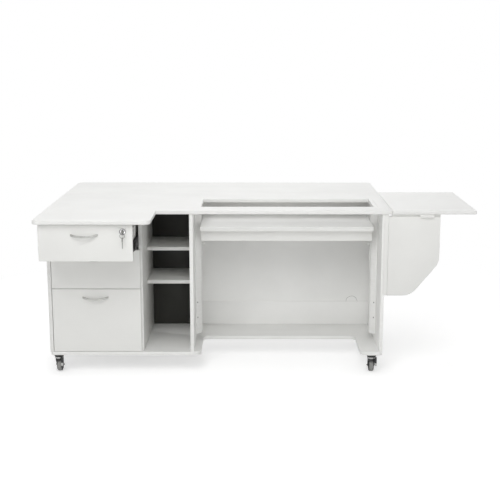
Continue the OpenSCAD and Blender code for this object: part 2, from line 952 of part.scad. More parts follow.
// A ring through the key's bow
module key_ring() {
    color(steel) translate([lock_x, y_face - open_top - key_y, lock_z + ring_z]) rotate([90, 0, 0])
        rotate_extrude() translate([key_ring_r, 0]) circle(ring_wire, $fn = 16);
}

// A second key, hanging on the ring
module spare_key() {
    bow_z = ring_z - key_ring_r + ring_wire + play - hole_r;
    color(steel) translate([lock_x, y_face - open_top - key_y, lock_z]) {
        key_bow(0, bow_z);
        block([-key_t / 2, -blade_h / 2, bow_z - key_bow_r - key_blade],
              [key_t / 2, blade_h / 2, bow_z - hole_r - blade_in]);
    }
}

// Rear leaf stays
module stay_rails() {
    color(zinc) for (x = stay_x)
        translate([x, y_back, 0]) flat(folded_glide - rail_spare, glide_z - folded_glide + 2 * rail_spare)
            difference() {
                translate([-rail_w / 2, 0]) square([rail_w, rail_d]);
                translate([rail_steel - rail_w / 2, rail_steel]) square([rail_w - 2 * rail_steel, rail_d]);
            }
}

module leaf_stays() {
    color(steel) for (x = stay_x)
        translate([x, pivot_y, pivot_z]) rotate([stay_angle, 0, 0]) {
            upright(-stay_t / 2, stay_t) difference() {
                union() {
                    circle(stay_w / 2);
                    translate([0, bar_in - stay_w / 2]) square([stay_l, stay_w - 2 * bar_in]);
                }
                circle(stay_pin_r + fit);
            }
            rod_x(-rail_w / 2 + rail_steel + play, stay_l, 0, glide_r, rail_w - 2 * rail_steel - 2 * play);
        }
}

module stay_brackets() {
    ear = stay_t / 2 + play;
    color(steel) for (x = stay_x) {
        block([x - rail_w / 2, pivot_y - ear_foot, z_under - ear_t],
              [x + rail_w / 2, pivot_y + ear_foot, z_under]);
        for (s = [-1, 1])
            upright(x + s * (ear + ear_t / 2) - ear_t / 2, ear_t) {
                translate([pivot_y, pivot_z]) circle(stay_w / 2 - cut);
                plate2d([pivot_y - stay_w / 2 + cut, pivot_z], [pivot_y + stay_w / 2 - cut, z_under - cut]);
            }
        rod_x(x - ear - ear_t - rivet_end, pivot_y, pivot_z, stay_pin_r, 2 * (ear + ear_t + rivet_end));
    }
}

// Casters
module at_caster(i, j) {
    translate([caster_xs[i], caster_ys[j], 0]) children();
}

module caster_plates() {
    color(black) for (i = [0, 1], j = [0, 1])
        at_caster(i, j) {
            flat(caster_h - plate_t, plate_t)
                plate2d(-[plate_s, plate_s] / 2, [plate_s, plate_s] / 2,
                    [plate_r, plate_r, plate_r, plate_r]);
            translate([0, 0, caster_h - plate_t - race_h]) cylinder(h = race_h, r = race_r);
            translate([0, 0, fork_top - crown_h]) cylinder(h = crown_h + race_h, r = kingpin_r);
        }
}

// Fork with its axle; the wheel trails toward the back
module fork(braked) {
    low = fork_top - crown_h;
    axle_half = cheek_x + cheek_t + axle_end;
    color(black) difference() {
        union() {
            translate([0, 0, low]) cylinder(h = crown_h, r = race_r - 1);
            for (s = [-1, 1])
                upright(s * (cheek_x + cheek_t / 2) - cheek_t / 2, cheek_t) {
                    polygon([[-cheek_front, low + 2 * cut], [-cheek_front, low - cheek_drop],
                             [trail - cheek_foot_r, wheel_r], [trail + cheek_foot_r, wheel_r],
                             [trail + cheek_foot_r, low - cheek_drop], [cheek_back, low + 2 * cut]]);
                    translate([trail, wheel_r]) circle(cheek_foot_r);
                }
            rod_x(-axle_half, trail, wheel_r, axle_r, 2 * axle_half);
        }
        translate([0, 0, low - cut]) cylinder(h = crown_h + 2 * cut, r = kingpin_r + fit);
        if (braked)
            rod_x(cheek_x - cheek_t / 2, brake_y, low - brake_drop, brake_pin_r + fit, 2 * cheek_t);
    }
}

module wheel() {
    color(black) translate([0, trail, wheel_r]) difference() {
        union() {
            rod_x(-wheel_w / 2 + rim_in, 0, 0, wheel_r, wheel_w - 2 * rim_in);
            rod_x(-wheel_w / 2, 0, 0, wheel_r - rim_h, wheel_w);
        }
        rod_x(-wheel_w, 0, 0, axle_r + fit, 2 * wheel_w);
    }
}

// Brake lever on the right cheek: a pin, an arm and an upright tab for the toe
module brake_lever() {
    arm_x = cheek_x + cheek_t + play;
    y0 = brake_y - lever_front;
    z0 = fork_top - crown_h - brake_drop;
    color(grey) {
        rod_x(cheek_x, brake_y, z0, brake_pin_r, arm_x - cheek_x + cut);
        block([arm_x, y0, z0 - lever_h / 2], [arm_x + lever_t, brake_y + lever_back, z0 + lever_h / 2]);
        block([cheek_x, y0, z0 - tab_low], [cheek_x + tab_w, y0 + lever_t, z0 + tab_top]);
    }
}

module fork_front_left() {
    at_caster(0, 0) fork(true);
}

module fork_front_right() {
    at_caster(1, 0) fork(true);
}

module fork_back_left() {
    at_caster(0, 1) fork(false);
}

module fork_back_right() {
    at_caster(1, 1) fork(false);
}

module wheel_front_left() {
    at_caster(0, 0) wheel();
}

module wheel_front_right() {
    at_caster(1, 0) wheel();
}

module wheel_back_left() {
    at_caster(0, 1) wheel();
}

module wheel_back_right() {
    at_caster(1, 1) wheel();
}

module brake_lever_left() {
    at_caster(0, 0) brake_lever();
}

module brake_lever_right() {
    at_caster(1, 0) brake_lever();
}

worktop();
well_filler();
side_leaf();
rear_leaf();
fixed_hinges();
rear_hinge_flaps();
leaf_stop_block();
left_gable();
drawer_gable();
knee_gable();
right_gable();
base_board();
back_rail();
back_panels();
cubby_back();
shelves();
wing_batten();
support_wing();
wing_hinge_flaps();
lift_columns();
lift_rails();
platform();
platform_apron();
lift_brackets();
clamp_knob_left();
clamp_knob_right();
stay_rails();
leaf_stays();
stay_brackets();
top_drawer_front();
top_drawer_box();
top_drawer_handle();
drawer_lock();
key();
key_ring();
spare_key();
middle_drawer_front();
middle_drawer_box();
middle_drawer_handle();
low_drawer_front();
low_drawer_box();
low_drawer_handle();
runner_channels();
top_runner_middles();
middle_runner_middles();
low_runner_middles();
top_box_runners();
middle_box_runners();
low_box_runners();
caster_plates();
fork_front_left();
fork_front_right();
fork_back_left();
fork_back_right();
wheel_front_left();
wheel_front_right();
wheel_back_left();
wheel_back_right();
brake_lever_left();
brake_lever_right();
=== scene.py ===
import json
import math
from collections import namedtuple

import bmesh
import bpy
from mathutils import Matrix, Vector


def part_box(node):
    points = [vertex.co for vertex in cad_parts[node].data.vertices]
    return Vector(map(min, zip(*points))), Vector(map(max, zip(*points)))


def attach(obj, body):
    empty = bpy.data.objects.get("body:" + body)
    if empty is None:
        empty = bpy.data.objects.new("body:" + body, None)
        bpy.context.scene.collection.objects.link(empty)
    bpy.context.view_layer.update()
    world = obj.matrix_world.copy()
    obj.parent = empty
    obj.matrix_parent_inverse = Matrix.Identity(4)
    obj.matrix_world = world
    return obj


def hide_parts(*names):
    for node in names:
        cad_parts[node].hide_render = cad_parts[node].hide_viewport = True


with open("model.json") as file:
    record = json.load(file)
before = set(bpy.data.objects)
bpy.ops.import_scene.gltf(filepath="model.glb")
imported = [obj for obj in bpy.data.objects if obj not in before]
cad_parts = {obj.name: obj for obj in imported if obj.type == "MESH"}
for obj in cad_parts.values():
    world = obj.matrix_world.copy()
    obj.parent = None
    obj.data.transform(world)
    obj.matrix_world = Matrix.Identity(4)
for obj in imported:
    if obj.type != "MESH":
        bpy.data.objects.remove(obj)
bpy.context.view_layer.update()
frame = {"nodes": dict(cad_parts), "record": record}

NODES = frame["nodes"]
BODY_OF = {node: body for body, nodes in frame["record"]["behaviour"]["bodies"].items() for node in nodes}
SLOT_OF = {part["node"]: part["material_slot"] for part in frame["record"]["subparts"]}
COLLECTION = bpy.context.scene.collection
MM = 0.001
X, Y, Z = range(3)
UNDER = (0, 0, -1)
BEHIND = (0, 1, 0)
SIDES = ("left", "right")
DRAWERS = ("top", "middle", "low")
CORNERS = ("front_left", "front_right", "back_left", "back_right")


def span(node):
    """The lowest and highest corner of a node, in millimetres."""
    low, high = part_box(node)
    return low / MM, high / MM


# Camera, at the photograph's viewing angle
CAMERA_PLACE = (-0.0238, -4.696, 1.4838)
CAMERA_TILT = math.radians(78.355)
CAMERA_TURN = math.radians(0.275)
LENS_MM = 72.44
SENSOR_MM = 36
CLIP_END = 60


def make_camera():
    data = bpy.data.cameras.new("photo_camera")
    data.lens = LENS_MM
    data.sensor_width = SENSOR_MM
    data.clip_end = CLIP_END
    camera = bpy.data.objects.new("photo_camera", data)
    camera.location = CAMERA_PLACE
    camera.rotation_euler = (CAMERA_TILT, 0, CAMERA_TURN)
    COLLECTION.objects.link(camera)
    bpy.context.scene.camera = camera


# Materials. Every pattern reads Object coordinates, and its grain is a real size in millimetres
Pattern = namedtuple("Pattern", "grain_mm detail roughness stretch", defaults=(2, 0.5, (1, 1, 1)))
Tint = namedtuple("Tint", "pattern low high dark light")
Gloss = namedtuple("Gloss", "pattern low high smooth rough")
Relief = namedtuple("Relief", "pattern strength depth_mm")
# Most of a noise pattern's values lie between these two
LOW, HIGH = 0.3, 0.7


def linear(code):
    """An sRGB hex colour as linear RGBA."""
    parts = [int(code[i:i + 2], 16) / 255 for i in (1, 3, 5)]
    return [c / 12.92 if c <= 0.04045 else ((c + 0.055) / 1.055) ** 2.4 for c in parts] + [1.0]


def add(tree, kind, wires=None, values=None, **settings):
    """Adds a node with its settings, its input values and the sockets that feed it."""
    node = tree.nodes.new(kind)
    for key, value in settings.items():
        setattr(node, key, value)
    for key, value in (values or {}).items():
        node.inputs[key].default_value = value
    for key, socket in (wires or {}).items():
        tree.links.new(socket, node.inputs[key])
    return node


def surface(name, tint=None, gloss=None, relief=None, **values):
    """A finish from up to three layers of noise, and the values that are the same all over it."""
    material = bpy.data.materials.new(name)
    material.use_nodes = True
    tree = material.node_tree
    shader = tree.nodes["Principled BSDF"]
    for key, value in values.items():
        shader.inputs[key.replace("_", " ")].default_value = value
    place = add(tree, "ShaderNodeTexCoord").outputs["Object"]
    noises = {}
    for pattern in dict.fromkeys(layer.pattern for layer in (tint, gloss, relief) if layer):
        drawn = add(tree, "ShaderNodeMapping", {"Vector": place}, {"Scale": pattern.stretch})
        cells = add(tree, "ShaderNodeTexNoise", {"Vector": drawn.outputs["Vector"]},
                    {"Scale": 1 / (pattern.grain_mm * MM), "Detail": pattern.detail,
                     "Roughness": pattern.roughness})
        noises[pattern] = cells.outputs["Fac"]
    if tint:
        tones = add(tree, "ShaderNodeValToRGB", {"Fac": noises[tint.pattern]})
        stops = ((tint.low, tint.dark), (tint.high, tint.light))
        for stop, (at, code) in zip(tones.color_ramp.elements, stops):
            stop.position = at
            stop.color = linear(code)
        tree.links.new(tones.outputs["Color"], shader.inputs["Base Color"])
    if gloss:
        dulled = add(tree, "ShaderNodeMapRange", {"Value": noises[gloss.pattern]},
                     {"From Min": gloss.low, "From Max": gloss.high,
                      "To Min": gloss.smooth, "To Max": gloss.rough})
        tree.links.new(dulled.outputs["Result"], shader.inputs["Roughness"])
    if relief:
        bumps = add(tree, "ShaderNodeBump", {"Height": noises[relief.pattern]},
                    {"Strength": relief.strength, "Distance": relief.depth_mm * MM})
        tree.links.new(bumps.outputs["Normal"], shader.inputs["Normal"])
    return material


def melamine(name, light, dark, gloss=0.42):
    """Melamine-faced chipboard: a flat white with the faint cloudiness of its paper, and the pearl
    texture of the press plate, which is about 0.5 mm in fact and drawn coarser so that it shows."""
    return surface(name, Tint(Pattern(190, 3), LOW, HIGH, dark, light),
                   Gloss(Pattern(60, 4), LOW, HIGH, gloss - 0.05, gloss + 0.07),
                   Relief(Pattern(1.6), strength=0.35, depth_mm=0.05), IOR=1.5)


def edge_band(name, light, dark):
    """ABS edge banding: smoother than the board's face, milled flush and a touch darker."""
    streak = Pattern(14, 3, stretch=(0.2, 0.2, 1))
    return surface(name, Tint(streak, LOW, HIGH, dark, light),
                   relief=Relief(Pattern(3), strength=0.2, depth_mm=0.03), Roughness=0.36, IOR=1.53)


def brushed_metal(name, light, dark, gloss, along=(1, 1, 1), grain_mm=0.8):
    """Plated or brushed steel: fine scratches drawn out along the rolling or brushing direction."""
    scratch = Pattern(grain_mm, 3, 0.6, along)
    return surface(name, Tint(Pattern(22, 3), LOW, HIGH, dark, light),
                   Gloss(scratch, 0.25, 0.75, gloss - 0.08, gloss + 0.1),
                   Relief(scratch, strength=0.25, depth_mm=0.03), Metallic=1.0)


def chrome_plate(name, colour):
    """Polished chrome plate on a die-cast lock: a mirror with faint finger smears."""
    return surface(name, gloss=Gloss(Pattern(6, 4), 0.35, 0.75, smooth=0.07, rough=0.2),
                   Metallic=1.0, Base_Color=linear(colour))


def powder_coat(name, light, dark, gloss):
    """Powder-coated or e-coated pressed steel: an even film with a soft orange peel."""
    peel = Pattern(1.4)
    return surface(name, Tint(Pattern(30, 3), LOW, HIGH, dark, light),
                   Gloss(peel, LOW, HIGH, gloss - 0.05, gloss + 0.08),
                   Relief(peel, strength=0.4, depth_mm=0.06), IOR=1.5)


def moulded_plastic(name, light, dark, gloss):
    """Injection-moulded plastic: a spark-eroded mould grain under a dull sheen."""
    grain = Pattern(0.7)
    return surface(name, Tint(Pattern(9, 3), LOW, HIGH, dark, light),
                   Gloss(grain, LOW, HIGH, gloss - 0.05, gloss + 0.1),
                   Relief(grain, strength=0.3, depth_mm=0.05), IOR=1.46)


def tread_rubber(name, light, dark):
    """Thermoplastic rubber tread: mid grey, dull, and dusted lighter where it has rolled."""
    dust = Pattern(5, 5, 0.65)
    return surface(name, Tint(dust, 0.35, HIGH, dark, light),
                   Gloss(dust, LOW, HIGH, smooth=0.62, rough=0.82),
                   Relief(Pattern(0.9, 3), strength=0.45, depth_mm=0.08), IOR=1.5)


# Boards
TOP_PAINTED_LIGHT = melamine("top_melamine_painted_light", "#F2F2F0", "#EEEEEC")  # the work surface, painted the brightest white for the light that falls on it from above
TOP_EDGE = edge_band("top_bullnose_edge", "#EBEBE9", "#E6E6E3")  # its rounded rim, a soft highlight
BOARD_WHITE = melamine("carcass_melamine", "#E9E9E6", "#E5E5E2")  # gables and fronts, a warmer white
BOARD_EDGE = edge_band("carcass_abs_edge", "#E6E6E4", "#E0E0DD")  # thin smooth lines on the board ends
KNEE_HOLE_PAINTED_LIGHT = melamine("knee_hole_melamine_painted_light", "#F1F1EF", "#ECECEA")  # the knee-hole boards, painted lighter than the carcass white against the shade they stand in
KNEE_HOLE_EDGE_PAINTED_LIGHT = edge_band("knee_hole_edge_painted_light", "#EEEEEC", "#E9E9E6")  # their ends, painted lighter in the same way
BACK_PAINTED_LIGHT = melamine("back_panel_board_painted_light", "#F2F2F0", "#EDEDEB", 0.5)  # thin back panel, duller, and painted lighter against the shade deep in the knee hole
DARK_BOARD = melamine("charcoal_melamine", "#3A3A36", "#31312D", 0.55)  # the cubby's near-black back
DRAWER_WRAP = melamine("drawer_wrap_board", "#E4E4E1", "#DFDFDB", 0.5)  # foil-wrapped drawer sides

# Metals. A triple draws the scratches out along the piece, and the last number is their grain
HINGE_STEEL = brushed_metal("nickel_plated_steel", "#C9C9C7", "#B4B4B3", 0.3, grain_mm=2)  # pale, soft shine
ZINC_STEEL = brushed_metal("zinc_plated_steel", "#B9BCBE", "#9A9EA1", 0.38, (1, 0.08, 1), 1.2)  # bluish
RUNNER_STEEL = brushed_metal("black_chromated_steel", "#48484A", "#363638", 0.4, (1, 0.08, 1), 1.2)  # dark
SATIN_NICKEL = brushed_metal("satin_nickel", "#C2C2BF", "#B0B0AD", 0.3, (0.06, 1, 1), 0.7)  # handles' glow
KEY_NICKEL_PAINTED_DARK = brushed_metal("nickel_plated_brass_key_painted_dark", "#8E8E8B", "#767673", 0.34, (1, 1, 0.2), 0.6)  # darkened: painted shade for the dark the keys mirror
COLLAR_PAINTED_DARK = brushed_metal("lock_collar_painted_dark_steel", "#77777A", "#626265", 0.3, grain_mm=0.6)  # painted shade: a darker ring for the dark the bezel's rim mirrors
RACE_STEEL = brushed_metal("bright_zinc_race", "#B4B4B2", "#929291", 0.34, (1, 1, 0.1), 0.9)  # a light band
SCREW_STEEL = brushed_metal("bright_zinc_screws", "#C0C0BE", "#A2A2A0", 0.3, grain_mm=0.6)  # small glints
LOCK_CHROME = chrome_plate("lock_chrome", "#D2D2D2")  # the lock's mirror face

# Coated steel, plastic and rubber
BLACK_STEEL = powder_coat("black_ecoat_steel", "#2A2A2C", "#1D1D1F", 0.42)  # runner channels, black
WHITE_STEEL = powder_coat("white_powder_coat", "#F2F2F0", "#ECECEA", 0.42)  # lift brackets, white
CASTER_BLACK = powder_coat("caster_powder_coat", "#2A2A2B", "#1C1C1D", 0.4)  # plates and forks, black
RECESS_PAINTED_SHADE = powder_coat("screw_recess_painted_shadow", "#3A3A3A", "#2A2A2A", 0.6)  # painted shade: the dark cross stands for the shade in a screw's recess
KNOB_PLASTIC = moulded_plastic("pale_knob_plastic", "#EDEDEA", "#E4E4E1", 0.4)  # near white, grained
BRAKE_PLASTIC = moulded_plastic("brake_tab_plastic", "#C4C4C2", "#B2B2B0", 0.4)  # light grey toe plates
WHEEL_NYLON = moulded_plastic("black_wheel_nylon", "#2C2C2D", "#1F1F20", 0.42)  # wheel bodies, black
SEAM_PAINTED_SHADOW = moulded_plastic("painted_shadow_seam_strip", "#8A8A86", "#7A7A76", 0.6)  # painted shadow: the grey arc stands for the shade in the seam round the notch cover
TREAD = tread_rubber("grey_tread_rubber", "#A5A5A4", "#83837F")  # the grey band on each wheel

# What each slot is made of: a board's face and its edge, or one finish
SLOT_FINISH = {
    "top_board": (TOP_PAINTED_LIGHT, TOP_EDGE),
    "white_board": (BOARD_WHITE, BOARD_EDGE),
    "back_board": (BACK_PAINTED_LIGHT, BACK_PAINTED_LIGHT),
    "dark_board": (DARK_BOARD, DARK_BOARD),
    "drawer_board": (DRAWER_WRAP, DRAWER_WRAP),
    "hinge_steel": (HINGE_STEEL,),
    "zinc_steel": (ZINC_STEEL,),
    "black_steel": (BLACK_STEEL,),
    "satin_nickel": (SATIN_NICKEL,),
    "lock_chrome": (LOCK_CHROME,),
    "white_steel": (WHITE_STEEL,),
    "caster_black": (CASTER_BLACK,),
}
# The boards round the knee hole take a copy of the white painted lighter, against the shade there
PAINTED_LIGHT_BOARDS = ("lift_columns", "back_rail", "knee_gable", "base_board", "right_gable")

# Boards: which way each is thin, how wide its edges are rounded in mm, and in how many steps
BOARDS = {
    "worktop": (Z, 3.5, 4), "well_filler": (Z, 0.8, 2), "side_leaf": (Z, 3.5, 4),
    "rear_leaf": (Z, 3.5, 4), "platform": (Z, 1.5, 3), "leaf_stop_block": (Y, 1.0, 2),
    "left_gable": (X, 0.8, 2), "drawer_gable": (X, 0.8, 2), "knee_gable": (X, 0.8, 2),
    "right_gable": (X, 0.8, 2), "base_board": (Z, 0.8, 2), "back_rail": (Y, 0.8, 2),
    "back_panels": (Y, 0, 0), "cubby_back": (Y, 0.4, 1), "shelves": (Z, 0.8, 2),
    "wing_batten": (Y, 0.8, 2), "support_wing": (Y, 1.0, 2), "lift_columns": (Z, 0.6, 1),
    "platform_apron": (Y, 0.8, 2),
    **{drawer + "_drawer_front": (Y, 1.0, 3) for drawer in DRAWERS},
    **{drawer + "_drawer_box": (Z, 0.6, 1) for drawer in DRAWERS},
}
# Hardware: how wide its edges are rounded, in mm
HARDWARE = {
    "fixed_hinges": 0.25, "rear_hinge_flaps": 0.25, "wing_hinge_flaps": 0.25, "lift_rails": 0.3,
    "lift_brackets": 0.5, "stay_rails": 0.3, "leaf_stays": 0.5, "stay_brackets": 0.4,
    **{drawer + "_drawer_handle": 0.9 for drawer in DRAWERS},
    "drawer_lock": 0.5, "runner_channels": 0.3, "caster_plates": 0.6,
    **{"fork_" + corner: 0.8 for corner in CORNERS},
}
# Hardware with a finish of its own in its slot
OWN_FINISH = {
    **{"clamp_knob_" + side: (KNOB_PLASTIC, 1.0) for side in SIDES},
    "key": (KEY_NICKEL_PAINTED_DARK, 0.35), "key_ring": (KEY_NICKEL_PAINTED_DARK, 0),
    **{drawer + "_runner_middles": (RUNNER_STEEL, 0.3) for drawer in DRAWERS},
    **{drawer + "_box_runners": (RUNNER_STEEL, 0.3) for drawer in DRAWERS},
    **{"brake_lever_" + side: (WHEEL_NYLON, 0.7) for side in SIDES},
}
HARDWARE_STEPS = 2

# Corners nearer than WELD metres are one, faces within FLAT are one, and an edge over SHARP is rounded
WELD = 1e-6
FLAT = math.radians(0.5)
SHARP = math.radians(30)
# How squarely a board's face looks along its thin way
FACE_ON = 0.9


def new_piece(name, mesh, finishes):
    piece = bpy.data.objects.new(name, mesh)
    for finish in finishes:
        mesh.materials.append(finish)
    COLLECTION.objects.link(piece)
    return piece


def declare(piece, body, slot, *nodes):
    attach(piece, body)
    if nodes:
        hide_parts(*nodes)


def soften(piece, width_mm, steps):
    """Rounds the sharp edges, with the shading of the flat faces kept flat."""
    piece.data.shade_smooth()
    edge = piece.modifiers.new("rounded_edges", "BEVEL")
    edge.limit_method = "ANGLE"
    edge.angle_limit = SHARP
    edge.width = width_mm * MM
    edge.segments = steps
    edge.use_clamp_overlap = True
    edge.harden_normals = True


def merged_copy(node):
    """The node's shape as clean faces: doubles merged and flat faces joined."""
    shape = bmesh.new()
    shape.from_mesh(NODES[node].data)
    bmesh.ops.remove_doubles(shape, verts=shape.verts, dist=WELD)
    bmesh.ops.dissolve_limit(shape, angle_limit=FLAT, verts=shape.verts, edges=shape.edges)
    return shape


def dress(node, name, finishes, width_mm, steps, thin=None):
    """Stands in for a node with its own shape, its edges rounded as they are on the real piece.
    On a board that is thin one way, the faces round its rim take the second finish."""
    shape = merged_copy(node)
    if thin is not None:
        for face in shape.faces:
            face.material_index = 0 if abs(face.normal[thin]) > FACE_ON else 1
    mesh = bpy.data.meshes.new(name)
    shape.to_mesh(mesh)
    shape.free()
    piece = new_piece(name, mesh, finishes)
    if steps:
        soften(piece, width_mm, steps)
    declare(piece, BODY_OF[node], SLOT_OF[node], node)
    return piece


def make_boards():
    """The thin back panels stay sharp and flat shaded, as smooth shading creases them."""
    for node, (thin, width, steps) in BOARDS.items():
        # Boards in the knee hole take the copy of the white painted lighter
        lighter = node in PAINTED_LIGHT_BOARDS
        finishes = (KNEE_HOLE_PAINTED_LIGHT, KNEE_HOLE_EDGE_PAINTED_LIGHT) if lighter else SLOT_FINISH[SLOT_OF[node]]
        dress(node, node + "_board", finishes, width, steps, thin)


def make_hardware():
    """The key ring is round all over, so it is only shaded smooth."""
    for node, width in HARDWARE.items():
        dress(node, node + "_part", SLOT_FINISH[SLOT_OF[node]], width, HARDWARE_STEPS)
    for node, (finish, width) in OWN_FINISH.items():
        piece = dress(node, node + "_part", (finish,), width, HARDWARE_STEPS if width else 0)
        if not width:
            piece.data.shade_smooth()


# Repeats. A tree puts one shape on every point, with its sizes and finishes as named inputs
def open_tree(name, sizes, finishes):
    """A new tree, what its inputs give, and the identifier of each input's socket."""
    tree = bpy.data.node_groups.new(name, "GeometryNodeTree")
    ports = tree.interface
    ports.new_socket("Points", in_out="INPUT", socket_type="NodeSocketGeometry")
    keys = {}
    for kind, labels in (("NodeSocketFloat", sizes), ("NodeSocketMaterial", finishes)):
        for label in labels:
            keys[label] = ports.new_socket(label, in_out="INPUT", socket_type=kind).identifier
    ports.new_socket("Mesh", in_out="OUTPUT", socket_type="NodeSocketGeometry")
    return tree, add(tree, "NodeGroupInput").outputs, keys


def grow(name, places, tree, keys, sizes_mm, finishes, facing=None):
    """One plain mesh of what a tree makes on every place, given in mm."""
    seed = bpy.data.meshes.new(name)
    seed.from_pydata([[v * MM for v in place] for place in places], [], [])
    if facing:
        for way in seed.attributes.new("facing", "FLOAT_VECTOR", "POINT").data:
            way.vector = facing
    piece = new_piece(name, seed, ())
    repeat = piece.modifiers.new("repeat", "NODES")
    repeat.node_group = tree
    for label, size in sizes_mm.items():
        repeat[keys[label]] = size * MM
    for label, finish in finishes.items():
        repeat[keys[label]] = finish
    graph = bpy.context.evaluated_depsgraph_get()
    made = bpy.data.meshes.new_from_object(piece.evaluated_get(graph), depsgraph=graph)
    piece.modifiers.clear()
    piece.data = made
    made.name = name
    return piece


# Screws and pins: a low cone with the cross of its recess, turned the way the point faces
HEAD_SIZES = ("Head Radius", "Crown Radius", "Head Height", "Recess Width", "Recess Reach")
COUNTERSUNK = dict(zip(HEAD_SIZES, (3.1, 2.8, 0.5, 0.8, 3.2)))
PAN_HEAD = dict(zip(HEAD_SIZES, (3.6, 2.4, 1.9, 0.9, 3.4)))
PANEL_PIN = dict(zip(HEAD_SIZES, (1.9, 1.6, 0.5, 0.5, 0.5)))
PLATE_SCREW = {**COUNTERSUNK, "Head Radius": 2.7, "Crown Radius": 2.4}
HEAD_SIDES = 16
# The recess bars' thickness and the height of their middle, as shares of the head's height
BAR_SHARE = 0.4
BAR_RISE = 0.84


def screw_tree():
    tree, given, keys = open_tree("screw_heads", HEAD_SIZES, ("Finish", "Recess Painted Shade"))
    head = add(tree, "GeometryNodeMeshCone",
               {"Radius Bottom": given["Head Radius"], "Radius Top": given["Crown Radius"],
                "Depth": given["Head Height"]}, {"Vertices": HEAD_SIDES})
    deep = add(tree, "ShaderNodeMath", {0: given["Head Height"]}, {1: BAR_SHARE}, operation="MULTIPLY")
    lift = add(tree, "ShaderNodeMath", {0: given["Head Height"]}, {1: BAR_RISE}, operation="MULTIPLY")
    rise = add(tree, "ShaderNodeCombineXYZ", {"Z": lift.outputs["Value"]})
    bars = add(tree, "GeometryNodeJoinGeometry")
    for wide, tall in (("Recess Reach", "Recess Width"), ("Recess Width", "Recess Reach")):
        size = add(tree, "ShaderNodeCombineXYZ",
                   {"X": given[wide], "Y": given[tall], "Z": deep.outputs["Value"]})
        bar = add(tree, "GeometryNodeMeshCube", {"Size": size.outputs["Vector"]})
        raised = add(tree, "GeometryNodeTransform",
                     {"Geometry": bar.outputs["Mesh"], "Translation": rise.outputs["Vector"]})
        tree.links.new(raised.outputs["Geometry"], bars.inputs["Geometry"])
    # The recess bars take a painted shade, for the shade inside the recess
    marked = add(tree, "GeometryNodeStoreNamedAttribute", {"Geometry": bars.outputs["Geometry"]},
                 {"Name": "recess", "Value": True}, data_type="BOOLEAN", domain="FACE")
    screw = add(tree, "GeometryNodeJoinGeometry")
    tree.links.new(marked.outputs["Geometry"], screw.inputs["Geometry"])
    tree.links.new(head.outputs["Mesh"], screw.inputs["Geometry"])
    facing = add(tree, "GeometryNodeInputNamedAttribute", None, {"Name": "facing"}, data_type="FLOAT_VECTOR")
    aimed = add(tree, "FunctionNodeAlignRotationToVector", {"Vector": facing.outputs["Attribute"]}, axis="Z")
    placed = add(tree, "GeometryNodeInstanceOnPoints",
                 {"Points": given["Points"], "Instance": screw.outputs["Geometry"],
                  "Rotation": aimed.outputs["Rotation"]})
    solid = add(tree, "GeometryNodeRealizeInstances", {"Geometry": placed.outputs["Instances"]})
    plated = add(tree, "GeometryNodeSetMaterial",
                 {"Geometry": solid.outputs["Geometry"], "Material": given["Finish"]})
    recess = add(tree, "GeometryNodeInputNamedAttribute", None, {"Name": "recess"}, data_type="BOOLEAN")
    shaded = add(tree, "GeometryNodeSetMaterial",
                 {"Geometry": plated.outputs["Geometry"], "Selection": recess.outputs["Attribute"],
                  "Material": given["Recess Painted Shade"]})
    add(tree, "NodeGroupOutput", {"Mesh": shaded.outputs["Geometry"]})
    return tree, keys


SCREW_TREE, SCREW_KEYS = screw_tree()


def screws(name, body, slot, places, facing, sizes):
    """One mesh of screws on a body, with their places in mm and one way that they face."""
    piece = grow(name, places, SCREW_TREE, SCREW_KEYS, sizes,
                 {"Finish": SCREW_STEEL, "Recess Painted Shade": RECESS_PAINTED_SHADE}, facing)
    declare(piece, body, slot)


# Hinges: plate thickness, and each row of screws by its distance from the pin and its pitch
HINGE_T = 1.2
LEAF_ROW = 11
WING_ROW = 7.2
HOLE_PITCH = 17
LEAF_HALF_SLIT = 0.5
WING_HALF_SLIT = 0.25
REAR_HINGES = 4
SIDE_HINGES = 3
WING_HINGE_HALF = 25.5


def hinge_row(start, end, count):
    """Where three screws to a hinge lie, with the hinges shared out from start to end."""
    share = (end - start) / count
    return [start + (i + 0.5) * share + s for i in range(count) for s in (-HOLE_PITCH, 0, HOLE_PITCH)]


def hinge_screws():
    low, high = span("worktop")
    under = low.z - HINGE_T
    pin_y = high.y + LEAF_HALF_SLIT
    pin_x = high.x + LEAF_HALF_SLIT
    along = hinge_row(low.x, high.x, REAR_HINGES)
    for name, body, y in (("rear_hinge_screws", "carcass", pin_y - LEAF_ROW),
                          ("rear_flap_screws", "rear_leaf", pin_y + LEAF_ROW)):
        screws(name, body, "hinge_steel", [(x, y, under) for x in along], UNDER, COUNTERSUNK)
    deep = hinge_row(span("side_leaf")[0].y, high.y, SIDE_HINGES)
    screws("side_hinge_screws", "carcass", "hinge_steel",
           [(pin_x + off, y, under) for off in (-LEAF_ROW, LEAF_ROW) for y in deep], UNDER, COUNTERSUNK)
    bottom, top = span("wing_hinge_flaps")
    middles = (bottom.z + WING_HINGE_HALF, top.z - WING_HINGE_HALF)
    heights = [z + s for z in middles for s in (-HOLE_PITCH, HOLE_PITCH)]
    back = span("wing_batten")[1].y + HINGE_T
    pin_x = span("support_wing")[0].x - WING_HALF_SLIT
    for name, body, x in (("batten_hinge_screws", "carcass", pin_x - WING_ROW),
                          ("wing_hinge_screws", "wing", pin_x + WING_ROW)):
        screws(name, body, "hinge_steel", [(x, back, z) for z in heights], BEHIND, COUNTERSUNK)


# Stays: how far the screws sit in from a bracket's side, and from its middle or a rail's end
STAY_IN = 8
STAY_PLATE_T = 2
STAY_HOLE_OFF = 18
STAY_RAIL_T = 1.5


